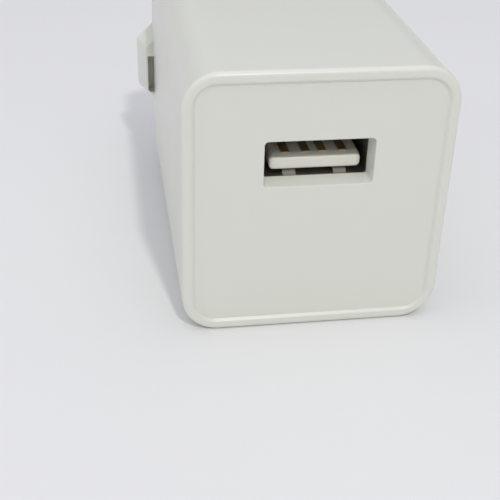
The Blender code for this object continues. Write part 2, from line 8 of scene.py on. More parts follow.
import bmesh
import bpy
from mathutils import Matrix, Vector


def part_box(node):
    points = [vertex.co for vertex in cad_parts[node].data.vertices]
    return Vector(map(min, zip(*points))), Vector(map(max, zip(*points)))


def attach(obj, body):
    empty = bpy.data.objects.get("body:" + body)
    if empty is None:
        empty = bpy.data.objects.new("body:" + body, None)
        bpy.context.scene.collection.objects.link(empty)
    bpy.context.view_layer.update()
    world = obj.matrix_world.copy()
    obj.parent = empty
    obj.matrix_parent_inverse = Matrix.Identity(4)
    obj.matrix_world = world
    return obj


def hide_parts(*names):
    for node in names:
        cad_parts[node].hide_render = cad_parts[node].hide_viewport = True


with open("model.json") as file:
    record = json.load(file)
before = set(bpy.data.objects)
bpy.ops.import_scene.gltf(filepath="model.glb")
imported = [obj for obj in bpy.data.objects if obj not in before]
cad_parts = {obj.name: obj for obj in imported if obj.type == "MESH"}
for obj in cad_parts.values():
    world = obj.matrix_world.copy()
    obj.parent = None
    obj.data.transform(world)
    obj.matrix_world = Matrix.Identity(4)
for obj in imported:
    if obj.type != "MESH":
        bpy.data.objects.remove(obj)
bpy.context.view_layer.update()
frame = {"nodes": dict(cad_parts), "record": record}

MM = 0.001

# Sizes read from the frame
sleeve_lo, sleeve_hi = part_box("housing_sleeve")
panel_lo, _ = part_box("front_panel")
_, base_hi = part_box("plug_base")
_, pin_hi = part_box("plug_pin_left")
shell_lo, shell_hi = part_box("usb_shell")
tongue_lo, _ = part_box("usb_insulator")
contact_lo, contact_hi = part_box("usb_contact_1")
FRONT_Y = sleeve_lo.y
BODY_HALF_WIDTH = sleeve_hi.x
BODY_HALF_HEIGHT = (sleeve_hi.z - sleeve_lo.z) / 2
MID_Z = (sleeve_lo.z + sleeve_hi.z) / 2
SLEEVE_DEPTH = sleeve_hi.y - FRONT_Y
REAR_DEPTH = base_hi.y - FRONT_Y
PANEL_DEPTH = panel_lo.y - FRONT_Y
PIN_LENGTH = pin_hi.y - base_hi.y
SHELL_FRONT = shell_lo.y - FRONT_Y
SHELL_BACK = shell_hi.y - FRONT_Y
TONGUE_FRONT = tongue_lo.y - FRONT_Y

# Housing
BODY_CORNER = 4.6 * MM
CORNER_TIGHTENING = 1.25  # how much faster the corner radius shrinks than the outline moves in
CORNER_LEAST = 0.2 * MM
CORNER_STEPS = 20
WALL = 2.2 * MM
RIM_FILLET = 0.65 * MM
RIM_CREST = 1.10 * MM  # where the rim starts to fall towards the panel
RIM_CREST_ROUND = 0.26 * MM
RIM_FOOT_ROUND = 0.16 * MM
RIM_SLOPE = math.radians(48)
PANEL_GAP = 0.01 * MM  # all that is seen between the rim and the panel
SEAM = 0.08 * MM  # visible joint between the sleeve and the plug base
SLEEVE_EXTRA = 0.15 * MM  # the sleeve's skin runs this far into the gap that the CAD leaves behind it
EDGE = 0.12 * MM  # slight rounding of moulded edges

# Plug base
BASE_THICKNESS = 3.8 * MM
BASE_FILLET = 1.5 * MM
SPIGOT_GAP = 0.25 * MM  # between the spigot and the sleeve's inner wall
SPIGOT_LENGTH = 3.0 * MM
SPIGOT_WALL = 1.2 * MM
SPIGOT_FLOOR = 0.3 * MM  # how far the spigot's inside reaches past the joint
EAR_HALF_WIDTHS = (17.55 * MM, 18.85 * MM)  # at the front and at the rear of the ears
EAR_HALF_HEIGHTS = (3.5 * MM, 3.8 * MM)
EAR_CHAMFER = 3.0 * MM
EAR_SETBACK = 0.05 * MM  # of the ears' front and rear from the base's own
EAR_LIP = 0.25 * MM  # left between the slot and the ear's end
EAR_SLOT_SPAN = (-4.2 * MM, 1.9 * MM)  # in height, from the middle of the body
EAR_SLOT_DEPTH = 2.5 * MM
EAR_SLOT_ROUND = 0.12 * MM
EAR_ROUND = 0.3 * MM

# Mains pins
PIN_RADIUS = 2.0 * MM
PIN_NECK_RADIUS = 1.3 * MM
PIN_HEAD_RADIUS = 2.3 * MM
PIN_HEAD_THICKNESS = 1.0 * MM
PIN_SPACING_BASE = 18.6 * MM
PIN_SPACING_TIP = 17.5 * MM
PIN_SLEEVE_LENGTH = 10.0 * MM
PIN_SLEEVE_RADIUS = 1.9 * MM
PIN_SLEEVE_SEAT = 2.0 * MM  # how far a pin's sleeve goes into the base
PIN_TIP_ROUND = 1.4 * MM
PIN_BEVEL = 0.15 * MM
PIN_HEAD_GAP = 0.3 * MM  # between a pin's head and the plug base
PIN_SHOULDER_GAP = 0.1 * MM  # between a pin's sleeve and its bare part
PIN_SLEEVE_BORE_GAP = 0.05 * MM
PIN_NECK_HOLE_GAP = 0.2 * MM
PIN_SEAT_GAP = 0.08 * MM
PIN_SEAT_CHAMFER = 0.2 * MM

# USB-A socket
PORT_RISE = 5.55 * MM  # of the socket above the middle of the front
PORT_Z = MID_Z + PORT_RISE
PORT_HALF_WIDTH = 6.6 * MM
PORT_HALF_HEIGHT = 2.9 * MM
PORT_CORNER = 0.5 * MM
PORT_EDGE = 0.12 * MM
PORT_TAPER = 0.34 * MM  # narrowing on each side towards the cut-out's back, which hides the shell's edge
SHELL_HALF_WIDTH = 6.25 * MM  # inside
SHELL_HALF_HEIGHT = 2.56 * MM  # inside
SHELL_WALL = 0.3 * MM
SHELL_CORNER = 0.35 * MM
SHELL_GAP = 0.02 * MM  # between the shell's edge and the panel's back
SHELL_TAB_LENGTH = 2.0 * MM
SHELL_TAB_THICKNESS = 0.27 * MM
SHELL_TAB_ROUND = 0.05 * MM
SHELL_TAB_OFFSETS = (-3.0 * MM, 3.5 * MM)  # from the middle of the shell's depth
TONGUE_HALF_WIDTH = 5.55 * MM
TONGUE_THICKNESS = 1.84 * MM
TONGUE_LENGTH = 9.6 * MM
TONGUE_RISE = 0.7 * MM
TONGUE_CORNER = 0.5 * MM
TONGUE_CORNER_LEAST = 0.08 * MM
TONGUE_TIP = 0.35 * MM  # rounding of the tip
TONGUE_TIP_SIDE = 2.2  # how much wider that rounding is at the tip's two sides
TONGUE_DROP = 0.28 * MM  # the top slopes down by this towards the tip
TONGUE_SLOPE = 0.9 * MM  # over this length
TONGUE_FLOOR_Z = PORT_Z - SHELL_HALF_HEIGHT + TONGUE_RISE
TONGUE_TOP_Z = TONGUE_FLOOR_Z + TONGUE_THICKNESS
BLOCK_OVERLAP = 0.5 * MM  # of the block with the tongue's rear end
BLOCK_BACK_GAP = 0.3 * MM
BLOCK_SIDE_GAP = 0.2 * MM
BLOCK_ROUND = 0.15 * MM
GROOVE_SIDE_GAP = 0.08 * MM  # on each side of a contact
GROOVE_HEIGHT = 0.5 * MM
GROOVE_RISE = 0.15 * MM  # of the groove's middle above the tongue's top
GROOVE_ROUND = 0.05 * MM
CONTACT_PLACES = (-3.5 * MM, -1.0 * MM, 1.0 * MM, 3.5 * MM)
CONTACT_HALF_WIDTH = 0.5 * MM
CONTACT_THICKNESS = 0.3 * MM
CONTACT_RISE = 0.12 * MM  # above the tongue's top
CONTACT_ROUND = 0.08 * MM
TAIL_WIDTH = 0.6 * MM
TAIL_ROUND = 0.06 * MM
FINGER_X = 3.1 * MM
FINGER_WIDTH = 1.6 * MM
FINGER_HEIGHT = 0.6 * MM
FINGER_LENGTH = 6.0 * MM
FINGER_START = 0.1 * MM
FINGER_CREST = 0.155  # share of the length at which the finger stands highest
FINGER_STEPS = 18

# Camera: place and aim point, from the middle of the front rim, and its turn about its own axis
CAMERA_PLACE = Vector((-24.61 * MM, -99.04 * MM, 54.56 * MM))
CAMERA_AIM = Vector((-8.04 * MM, 0.0, -5.55 * MM))
CAMERA_ROLL = math.radians(1.72)
CAMERA_LENS = 69.49  # focal length and sensor width in millimetres
CAMERA_SENSOR = 36.0
CAMERA_CLIP = 5 * MM

# Surfaces
SHARP_PLASTIC = 38  # degrees between faces above which an edge stays sharp
SHARP_SMALL = 30  # the same for the small pieces of the socket
SPECK_SPACING = 11 * MM
SPECK_CORE = 0.005  # full strength within this share of the spacing
SPECK_EDGE = 0.012  # faded out at this share
SPECK_TINT = 0.45
STAIN_SIZE = 2.2 * MM
PLASTIC_GLOSS_SPREAD = (0.95, 1.05)  # factors on the roughness, from glossiest to dullest spot
METAL_GLOSS_SPREAD = (0.7, 1.5)

# Stage: the lights' places are relative to a point inside the charger, this far behind its front
LIGHT_TARGET_DEPTH = 20 * MM
FLOOR_HALF_SIZE = 6.0
FLOOR_COLOURS = ((0.83, 0.83, 0.835), (0.855, 0.855, 0.86))
FLOOR_CLOUDS = 60 * MM
FLOOR_GRAIN_SIZE = 0.6 * MM
FLOOR_GRAIN = 0.01 * MM
WORLD_COLOUR = (0.965, 0.97, 1.03)
WORLD_LEVEL = 0.10
HORIZON_GLOW = 0.55  # added to the level at the horizon
HORIZON_BAND = 0.12  # height at which that glow has faded, as the sine of the angle
WORLD_OVERHEAD = 1.20  # how much brighter it is straight above
KEY_PLACE = Vector((0.105, -0.79, 0.92))
KEY_SIZE = 0.07
KEY_POWER = 4.1
KEY_COLOUR = (1.0, 0.995, 0.92)
FILL_PLACE = Vector((-1.00, -0.12, 0.28))
FILL_SIZE = 0.5
FILL_POWER = 0.95
FILL_COLOUR = (0.98, 0.98, 1.0)


def at(x, depth, z):
    """Position in the frame from a depth behind the front rim."""
    return Vector((x, FRONT_Y + depth, z))


# ---------------------------------------------------------------- shapes

def outline(half_width, half_height, radius, steps=CORNER_STEPS):
    """Rounded rectangle as (x, z) points, anticlockwise from the right."""
    points = []
    for quarter, (sx, sz) in enumerate(((1, -1), (1, 1), (-1, 1), (-1, -1))):
        centre_x = sx * (half_width - radius)
        centre_z = sz * (half_height - radius)
        for step in range(steps + 1):
            angle = math.radians(90 * (quarter - 1 + step / steps))
            points.append((centre_x + radius * math.cos(angle), centre_z + radius * math.sin(angle)))
    return points


def ring(half_width, half_height, radius, depth, z, steps=CORNER_STEPS):
    """Rounded rectangle across the depth axis."""
    return [at(x, depth, z + dz) for x, dz in outline(half_width, half_height, radius, steps)]


def body_ring(inset, depth):
    """Outline of the body, moved inwards."""
    radius = max(BODY_CORNER - CORNER_TIGHTENING * inset, CORNER_LEAST)
    return ring(BODY_HALF_WIDTH - inset, BODY_HALF_HEIGHT - inset, radius, depth, MID_Z)


def arc(centre, radius, start, end, steps=6):
    """(inset, depth) points along an arc between two angles in degrees."""
    angles = [math.radians(start + (end - start) * step / steps) for step in range(steps + 1)]
    return [(centre[0] + radius * math.cos(a), centre[1] + radius * math.sin(a)) for a in angles]


def rim_slope():
    """(inset, depth) points from the rim's crest down to the panel: round, straight, then hollow."""
    turn = math.degrees(RIM_SLOPE)
    rounded = 1 - math.cos(RIM_SLOPE)
    straight = PANEL_DEPTH - (RIM_CREST_ROUND + RIM_FOOT_ROUND) * rounded
    run = straight / math.tan(RIM_SLOPE) + (RIM_CREST_ROUND + RIM_FOOT_ROUND) * math.sin(RIM_SLOPE)
    top = arc((RIM_CREST, RIM_CREST_ROUND), RIM_CREST_ROUND, -90, turn - 90)
    foot = arc((RIM_CREST + run, PANEL_DEPTH - RIM_FOOT_ROUND), RIM_FOOT_ROUND, 90 + turn, 90)
    return top + foot


def mesh_object(name, bm):
    """Object from a bmesh in the frame's coordinates."""
    bmesh.ops.recalc_face_normals(bm, faces=bm.faces)
    mesh = bpy.data.meshes.new(name)
    bm.to_mesh(mesh)
    bm.free()
    piece = bpy.data.objects.new(name, mesh)
    bpy.context.scene.collection.objects.link(piece)
    return piece


def loft(name, rings, closed=False):
    """Skin through rings of equally many points, closed on itself or capped at both ends."""
    bm = bmesh.new()
    loops = [[bm.verts.new(point) for point in points] for points in rings]
    count = len(loops[0])
    pairs = list(zip(loops, loops[1:]))
    if closed:
        pairs.append((loops[-1], loops[0]))
    for one, other in pairs:
        for i in range(count):
            j = (i + 1) % count
            bm.faces.new((one[i], one[j], other[j], other[i]))
    if not closed:
        bm.faces.new(loops[0])
        bm.faces.new(loops[-1])
    return mesh_object(name, bm)


def turned(name, profile, place, lean=0.0, steps=56, closed=False):
    """Solid of revolution about Y. The profile lists (radius, place along the axis)."""
    matrix = Matrix.Translation(place) @ Matrix.Rotation(lean, 4, "Z")
    bm = bmesh.new()
    rows = []
    for radius, along in profile:
        if radius == 0:
            rows.append([bm.verts.new(matrix @ Vector((0, along, 0)))])
            continue
        row = []
        for step in range(steps):
            angle = math.tau * step / steps
            point = Vector((radius * math.cos(angle), along, radius * math.sin(angle)))
            row.append(bm.verts.new(matrix @ point))
        rows.append(row)
    pairs = list(zip(rows, rows[1:]))
    if closed:
        pairs.append((rows[-1], rows[0]))
    for one, other in pairs:
        for i in range(steps):
            j = (i + 1) % steps
            if len(one) == 1:
                bm.faces.new((one[0], other[j], other[i]))
            elif len(other) == 1:
                bm.faces.new((one[i], one[j], other[0]))
            else:
                bm.faces.new((one[i], one[j], other[j], other[i]))
    return mesh_object(name, bm)


def rounded_box(name, size, centre, radius, segments=3):
    """Box with every edge rounded."""
    bm = bmesh.new()
    matrix = Matrix.Translation(centre) @ Matrix.Diagonal((*size, 1.0))
    bmesh.ops.create_cube(bm, size=1.0, matrix=matrix)
    bmesh.ops.bevel(bm, geom=bm.edges[:], offset=radius, segments=segments, profile=0.5, affect="EDGES")
    return mesh_object(name, bm)


def combine(target, tool, operation):
    """Apply an exact Boolean of the tool to the target, then drop the tool."""
    modifier = target.modifiers.new("combine", "BOOLEAN")
    modifier.operation = operation
    modifier.solver = "EXACT"
    modifier.object = tool
    evaluated = target.evaluated_get(bpy.context.evaluated_depsgraph_get())
    target.data = bpy.data.meshes.new_from_object(evaluated)
    target.modifiers.clear()
    bpy.data.objects.remove(tool)


def join(target, tool):
    combine(target, tool, "UNION")


def cut(target, tool):
    combine(target, tool, "DIFFERENCE")


def publish(piece, surface, slot, *nodes, sharp=SHARP_PLASTIC):
    """Give a piece its surface and smooth shading, and let it stand for its CAD nodes."""
    piece.data.materials.clear()
    piece.data.materials.append(surface)
    piece.data.shade_smooth()
    piece.data.set_sharp_from_angle(angle=math.radians(sharp))
    modifier = piece.modifiers.new("weighted_normals", "WEIGHTED_NORMAL")
    modifier.keep_sharp = True
    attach(piece, "root")
    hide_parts(*nodes)


# ---------------------------------------------------------------- surfaces

def shader_of(name, roughness, metallic=0.0, ior=1.5):
    """New node material, its tree and its Principled shader."""
    surface = bpy.data.materials.new(name)
    surface.use_nodes = True
    tree = surface.node_tree
    shader = tree.nodes["Principled BSDF"]
    shader.inputs["Roughness"].default_value = roughness
    shader.inputs["Metallic"].default_value = metallic
    shader.inputs["IOR"].default_value = ior
    return surface, tree, shader


def place_nodes(tree, stretch=(1, 1, 1)):
    """Object coordinates, stretched along the axes."""
    coordinates = tree.nodes.new("ShaderNodeTexCoord")
    mapping = tree.nodes.new("ShaderNodeMapping")
    mapping.inputs["Scale"].default_value = stretch
    tree.links.new(coordinates.outputs["Object"], mapping.inputs["Vector"])
    return mapping.outputs["Vector"]


def noise(tree, place, size, detail=3.0):
    """Noise whose features are about the given size."""
    node = tree.nodes.new("ShaderNodeTexNoise")
    node.inputs["Scale"].default_value = 1.0 / size
    node.inputs["Detail"].default_value = detail
    tree.links.new(place, node.inputs["Vector"])
    return node.outputs["Fac"]


def remap(tree, value, low, high, from_low=0.25, from_high=0.75):
    """Value moved smoothly from one range to another."""
    node = tree.nodes.new("ShaderNodeMapRange")
    node.interpolation_type = "SMOOTHSTEP"
    node.inputs["From Min"].default_value = from_low
    node.inputs["From Max"].default_value = from_high
    node.inputs["To Min"].default_value = low
    node.inputs["To Max"].default_value = high
    tree.links.new(value, node.inputs["Value"])
    return node.outputs["Result"]


def blend(tree, factor, first, second):
    """Mix of two colours. Each is a colour or a socket."""
    node = tree.nodes.new("ShaderNodeMix")
    node.data_type = "RGBA"
    tree.links.new(factor, node.inputs["Factor"])
    for colour, socket in ((first, node.inputs["A"]), (second, node.inputs["B"])):
        if isinstance(colour, tuple):
            socket.default_value = (*colour, 1.0)
        else:
            tree.links.new(colour, socket)
    return node.outputs["Result"]


def bump(tree, shader, height, depth):
    """Surface relief of the given depth in metres."""
    node = tree.nodes.new("ShaderNodeBump")
    node.inputs["Strength"].default_value = 1.0
    node.inputs["Distance"].default_value = depth
    tree.links.new(height, node.inputs["Height"])
    tree.links.new(node.outputs["Normal"], shader.inputs["Normal"])


def tint(colour, factor):
    """Colour made lighter or darker."""
    return tuple(min(channel * factor, 1.0) for channel in colour)


def moulded(name, colour, roughness, mottle=0.02, mottle_size=7 * MM, grain=0.002 * MM, grain_size=0.5 * MM,
            specks=0.0, ior=1.5):
    """Moulded plastic: faint clouds of colour and gloss, a fine surface ripple and stray specks."""
    surface, tree, shader = shader_of(name, roughness, ior=ior)
    place = place_nodes(tree)
    clouds = noise(tree, place, mottle_size)
    result = blend(tree, clouds, tint(colour, 1 - mottle), tint(colour, 1 + mottle))
    if specks:
        cells = tree.nodes.new("ShaderNodeTexVoronoi")
        cells.inputs["Scale"].default_value = 1 / SPECK_SPACING
        tree.links.new(place, cells.inputs["Vector"])
        near = remap(tree, cells.outputs["Distance"], specks, 0.0, SPECK_CORE, SPECK_EDGE)
        result = blend(tree, near, result, tint(colour, SPECK_TINT))
    tree.links.new(result, shader.inputs["Base Color"])
    smears = noise(tree, place, mottle_size, 2.0)
    low, high = (roughness * factor for factor in PLASTIC_GLOSS_SPREAD)
    tree.links.new(remap(tree, smears, low, high), shader.inputs["Roughness"])
    bump(tree, shader, noise(tree, place, grain_size, 2.0), grain)
    return surface


def plated(name, colour, roughness, brushing=(1, 1, 1), scratch=0.0004 * MM, scratch_size=0.2 * MM,
           mottle=0.08):
    """Plated or rolled metal: stains in colour and gloss and fine scratches along one direction."""
    surface, tree, shader = shader_of(name, roughness, metallic=1.0)
    place = place_nodes(tree)
    along = place_nodes(tree, brushing)
    stains = noise(tree, place, STAIN_SIZE, 4.0)
    result = blend(tree, stains, tint(colour, 1 - mottle), tint(colour, 1 + mottle))
    tree.links.new(result, shader.inputs["Base Color"])
    lines = noise(tree, along, scratch_size, 4.0)
    low, high = (roughness * factor for factor in METAL_GLOSS_SPREAD)
    tree.links.new(remap(tree, lines, low, high), shader.inputs["Roughness"])
    bump(tree, shader, lines, scratch)
    return surface


# ---------------------------------------------------------------- pieces

def build_sleeve(surface):
    """Outer sleeve with the raised rim round its front."""
    end = SLEEVE_DEPTH + SLEEVE_EXTRA
    section = [(0.0, end - EDGE)]
    section += arc((RIM_FILLET, RIM_FILLET), RIM_FILLET, 180, 270, 10)
    section += rim_slope()
    rim_inside = section[-1][0]
    section += [
        (rim_inside, SHELL_FRONT),
        (WALL, SHELL_FRONT),
        (WALL, end),
        (EDGE, end),
    ]
    sleeve = loft("sleeve_skin", [body_ring(inset, depth) for inset, depth in section], closed=True)
    publish(sleeve, surface, "housing", "housing_sleeve")


def build_panel(surface):
    """Flat front panel with the socket's cut-out."""
    back = SHELL_FRONT - SHELL_GAP
    inset = rim_slope()[-1][0] + PANEL_GAP
    rings = [body_ring(inset, back), body_ring(inset, PANEL_DEPTH)]

    def port_ring(spread, depth):
        half_width = PORT_HALF_WIDTH + spread
        half_height = PORT_HALF_HEIGHT + spread
        return ring(half_width, half_height, PORT_CORNER + spread, depth, PORT_Z)

    mouth = arc((PORT_EDGE, PANEL_DEPTH + PORT_EDGE), PORT_EDGE, 270, 180, 4)
    rings += [port_ring(spread, depth) for spread, depth in mouth]
    rings.append(port_ring(-PORT_TAPER, back))
    panel = loft("panel_plate", rings, closed=True)
    publish(panel, surface, "housing", "front_panel")


def ear_bar():
    """Bar that flares towards the rear and ends in two chamfered ears."""
    bm = bmesh.new()
    loops = []
    start = REAR_DEPTH - BASE_THICKNESS + EAR_SETBACK
    depths = (start, REAR_DEPTH - EAR_SETBACK)
    for half_width, half_height, depth in zip(EAR_HALF_WIDTHS, EAR_HALF_HEIGHTS, depths):
        quarter = [(half_width, half_height), (half_width - EAR_CHAMFER, half_height + EAR_CHAMFER)]
        upper = quarter + [(-x, z) for x, z in reversed(quarter)]
        lower = [(x, -z) for x, z in reversed(upper)]
        loops.append([bm.verts.new(at(x, depth, MID_Z + z)) for x, z in upper + lower])
    faces = [bm.faces.new(loop) for loop in loops]
    bmesh.ops.bridge_loops(bm, edges=[edge for face in faces for edge in face.edges])
    bmesh.ops.recalc_face_normals(bm, faces=bm.faces)
    bmesh.ops.bevel(bm, geom=bm.edges[:], offset=EAR_ROUND, segments=4, profile=0.5, affect="EDGES")
    return mesh_object("ear_bar", bm)


def build_base(surface):
    """Rear cover with its spigot, ears, ear slots and pin seats."""
    front = REAR_DEPTH - BASE_THICKNESS
    face = SLEEVE_DEPTH + SLEEVE_EXTRA + SEAM
    spigot_outer = WALL + SPIGOT_GAP
    spigot_inner = spigot_outer + SPIGOT_WALL
    section = [
        (spigot_inner, face + SPIGOT_FLOOR),
        (spigot_inner, front - SPIGOT_LENGTH),
        (spigot_outer, front - SPIGOT_LENGTH),
        (spigot_outer, face),
    ]
    section += arc((EDGE, face + EDGE), EDGE, 270, 180, 3)
    section += arc((BASE_FILLET, REAR_DEPTH - BASE_FILLET), BASE_FILLET, 180, 90, 12)
    base = loft("base_cover", [body_ring(inset, depth) for inset, depth in section])
    join(base, ear_bar())

    slot_width = EAR_HALF_WIDTHS[0] - EAR_LIP - BODY_HALF_WIDTH
    slot_size = (slot_width, 2 * EAR_SLOT_DEPTH, EAR_SLOT_SPAN[1] - EAR_SLOT_SPAN[0])
    slot_z = MID_Z + sum(EAR_SLOT_SPAN) / 2
    for side in (-1, 1):
        centre = at(side * (BODY_HALF_WIDTH + slot_width / 2), front + EAR_SETBACK, slot_z)
        cut(base, rounded_box("slot", slot_size, centre, EAR_SLOT_ROUND, 2))

    seat = PIN_SLEEVE_RADIUS + PIN_SEAT_GAP
    mouth = seat + PIN_SEAT_CHAMFER
    neck = PIN_NECK_RADIUS + PIN_NECK_HOLE_GAP
    step = REAR_DEPTH - PIN_SLEEVE_SEAT - front
    beyond = 1.0 * MM
    hole = [
        (0, -beyond), (neck, -beyond), (neck, step), (seat, step),
        (seat, BASE_THICKNESS - PIN_SEAT_CHAMFER), (mouth, BASE_THICKNESS),
        (mouth, BASE_THICKNESS + beyond), (0, BASE_THICKNESS + beyond),
    ]
    for side in (-1, 1):
        cut(base, turned("hole", hole, at(side * PIN_SPACING_BASE / 2, front, MID_Z)))
    publish(base, surface, "housing", "plug_base")


def build_pins(metal, plastic):
    """Mains pins with round tips, each with its insulating sleeve."""
    lean = math.atan2((PIN_SPACING_BASE - PIN_SPACING_TIP) / 2, PIN_LENGTH)
    head_end = -BASE_THICKNESS - PIN_HEAD_GAP
    head_start = head_end - PIN_HEAD_THICKNESS
    shoulder = PIN_SLEEVE_LENGTH + PIN_SHOULDER_GAP
    pin = [
        (0, head_start),
        (PIN_HEAD_RADIUS - PIN_BEVEL, head_start),
        (PIN_HEAD_RADIUS, head_start + PIN_BEVEL),
        (PIN_HEAD_RADIUS, head_end),
        (PIN_NECK_RADIUS, head_end),
        (PIN_NECK_RADIUS, shoulder),
        (PIN_RADIUS - PIN_BEVEL, shoulder),
        (PIN_RADIUS, shoulder + PIN_BEVEL),
    ]
    tip = arc((PIN_RADIUS - PIN_TIP_ROUND, PIN_LENGTH - PIN_TIP_ROUND), PIN_TIP_ROUND, 0, 90, 12)
    pin += tip + [(0, PIN_LENGTH)]
    inner = PIN_NECK_RADIUS + PIN_SLEEVE_BORE_GAP
    collar = [(inner, -PIN_SLEEVE_SEAT), (PIN_SLEEVE_RADIUS, -PIN_SLEEVE_SEAT)]
    collar += arc((PIN_SLEEVE_RADIUS - PIN_BEVEL, PIN_SLEEVE_LENGTH - PIN_BEVEL), PIN_BEVEL, 0, 90, 4)
    collar += [(inner, PIN_SLEEVE_LENGTH)]
    for side, word in ((-1, "left"), (1, "right")):
        place = at(side * PIN_SPACING_BASE / 2, REAR_DEPTH, MID_Z)
        publish(turned(f"mains_pin_{word}", pin, place, side * lean), metal, "nickel", f"plug_pin_{word}")
        piece = turned(f"pin_collar_{word}", collar, place, side * lean, closed=True)
        publish(piece, plastic, "pin_insulation", f"pin_sleeve_{word}")


def finger_strip(side, face):
    """Spring finger: a strip of the shell that bows inwards near its free end."""
    bm = bmesh.new()
    wall = face * SHELL_HALF_HEIGHT
    rows = []
    for step in range(FINGER_STEPS + 1):
        t = step / FINGER_STEPS
        phase = t / FINGER_CREST if t < FINGER_CREST else (1 - t) / (1 - FINGER_CREST)
        rise = FINGER_HEIGHT * math.sin(math.pi * phase / 2) ** 2
        depth = SHELL_FRONT + FINGER_START + FINGER_LENGTH * t
        for x in (-FINGER_WIDTH / 2, FINGER_WIDTH / 2):
            for lift in (rise, -SHELL_WALL / 2):
                rows.append(bm.verts.new(at(side * FINGER_X + x, depth, PORT_Z + wall - face * lift)))
    quads = [rows[i:i + 4] for i in range(0, len(rows), 4)]
    for (a, b, c, d), (e, f, g, h) in zip(quads, quads[1:]):
        for corners in ((a, c, g, e), (b, f, h, d), (a, e, f, b), (c, d, h, g)):
            bm.faces.new(corners)
    for a, b, c, d in (quads[0], quads[-1]):
        bm.faces.new((a, b, d, c))
    return mesh_object("finger", bm)


def build_shell(surface):
    """Sheet metal shell of the socket with spring fingers and tabs to the board."""
    half_wall = SHELL_WALL / 2

    def shell_ring(spread, depth):
        width = SHELL_HALF_WIDTH + spread
        height = SHELL_HALF_HEIGHT + spread
        return ring(width, height, SHELL_CORNER + spread, depth, PORT_Z, 8)

    lip = arc((half_wall, SHELL_FRONT + half_wall), half_wall, 180, 360, 6)
    section = [(0.0, SHELL_BACK)] + lip + [(SHELL_WALL, SHELL_BACK)]
    shell = loft("socket_shell", [shell_ring(spread, depth) for spread, depth in section], closed=True)
    for side in (-1, 1):
        for face in (-1, 1):
            join(shell, finger_strip(side, face))

    middle = (SHELL_FRONT + SHELL_BACK) / 2
    tab_height = shell_hi.z - PORT_Z
    tab_size = (SHELL_TAB_THICKNESS, SHELL_TAB_LENGTH, tab_height)
    for side in (-1, 1):
        for along in SHELL_TAB_OFFSETS:
            centre = at(side * (SHELL_HALF_WIDTH + half_wall), middle + along, PORT_Z + tab_height / 2)
            join(shell, rounded_box("tab", tab_size, centre, SHELL_TAB_ROUND, 2))
    publish(shell, surface, "socket_steel", "usb_shell", sharp=SHARP_SMALL)


def build_tongue(surface):
    """Moulded tongue with contact grooves, and the block behind it."""
    section = [
        (0.0, TONGUE_FRONT + TONGUE_LENGTH, 0.0),
        (0.0, TONGUE_FRONT + TONGUE_SLOPE, 0.0),
    ]
    tip = arc((TONGUE_TIP, TONGUE_FRONT + TONGUE_TIP), TONGUE_TIP, 180, 270, 8)
    section += [(inset, depth, TONGUE_DROP) for inset, depth in tip]
    rings = []
    for inset, depth, drop in section:
        half_width = TONGUE_HALF_WIDTH - TONGUE_TIP_SIDE * inset
        half_height = (TONGUE_THICKNESS - drop) / 2 - inset
        middle_z = TONGUE_FLOOR_Z + (TONGUE_THICKNESS - drop) / 2
        corner = max(TONGUE_CORNER - inset, TONGUE_CORNER_LEAST)
        rings.append(ring(half_width, half_height, corner, depth, middle_z, 6))
    tongue = loft("socket_tongue", rings)
    block_start = TONGUE_FRONT + TONGUE_LENGTH - BLOCK_OVERLAP
    block_length = SHELL_BACK - BLOCK_BACK_GAP - block_start
    block_width = 2 * (SHELL_HALF_WIDTH - BLOCK_SIDE_GAP)
    block_height = 2 * (SHELL_HALF_HEIGHT - BLOCK_SIDE_GAP)
    block_centre = at(0, block_start + block_length / 2, PORT_Z)
    join(tongue, rounded_box("block", (block_width, block_length, block_height), block_centre, BLOCK_ROUND))
    groove_length = SHELL_BACK - TONGUE_FRONT
    groove_size = (2 * (CONTACT_HALF_WIDTH + GROOVE_SIDE_GAP), groove_length, GROOVE_HEIGHT)
    for x in CONTACT_PLACES:
        centre = at(x, TONGUE_FRONT + TONGUE_SLOPE + groove_length / 2, TONGUE_TOP_Z + GROOVE_RISE)
        cut(tongue, rounded_box("groove", groove_size, centre, GROOVE_ROUND, 2))
    publish(tongue, surface, "socket_plastic", "usb_insulator", sharp=SHARP_SMALL)


def build_contacts(surface):
    """Four spring contacts in their grooves, each with a tail up to the board."""
    start = contact_lo.y - FRONT_Y
    end = contact_hi.y - FRONT_Y
    middle_z = TONGUE_TOP_Z + CONTACT_RISE - CONTACT_THICKNESS / 2
    size = (2 * CONTACT_HALF_WIDTH, end - start, CONTACT_THICKNESS)
    tail_size = (TAIL_WIDTH, CONTACT_THICKNESS, contact_hi.z - middle_z)
    for number, x in enumerate(CONTACT_PLACES, start=1):
        centre = at(x, (start + end) / 2, middle_z)
        strip = rounded_box(f"socket_contact_{number}", size, centre, CONTACT_ROUND)
        tail_centre = at(x, end - CONTACT_THICKNESS / 2, (contact_hi.z + middle_z) / 2)
        join(strip, rounded_box("tail", tail_size, tail_centre, TAIL_ROUND, 2))
        publish(strip, surface, "gold_plate", f"usb_contact_{number}", sharp=SHARP_SMALL)


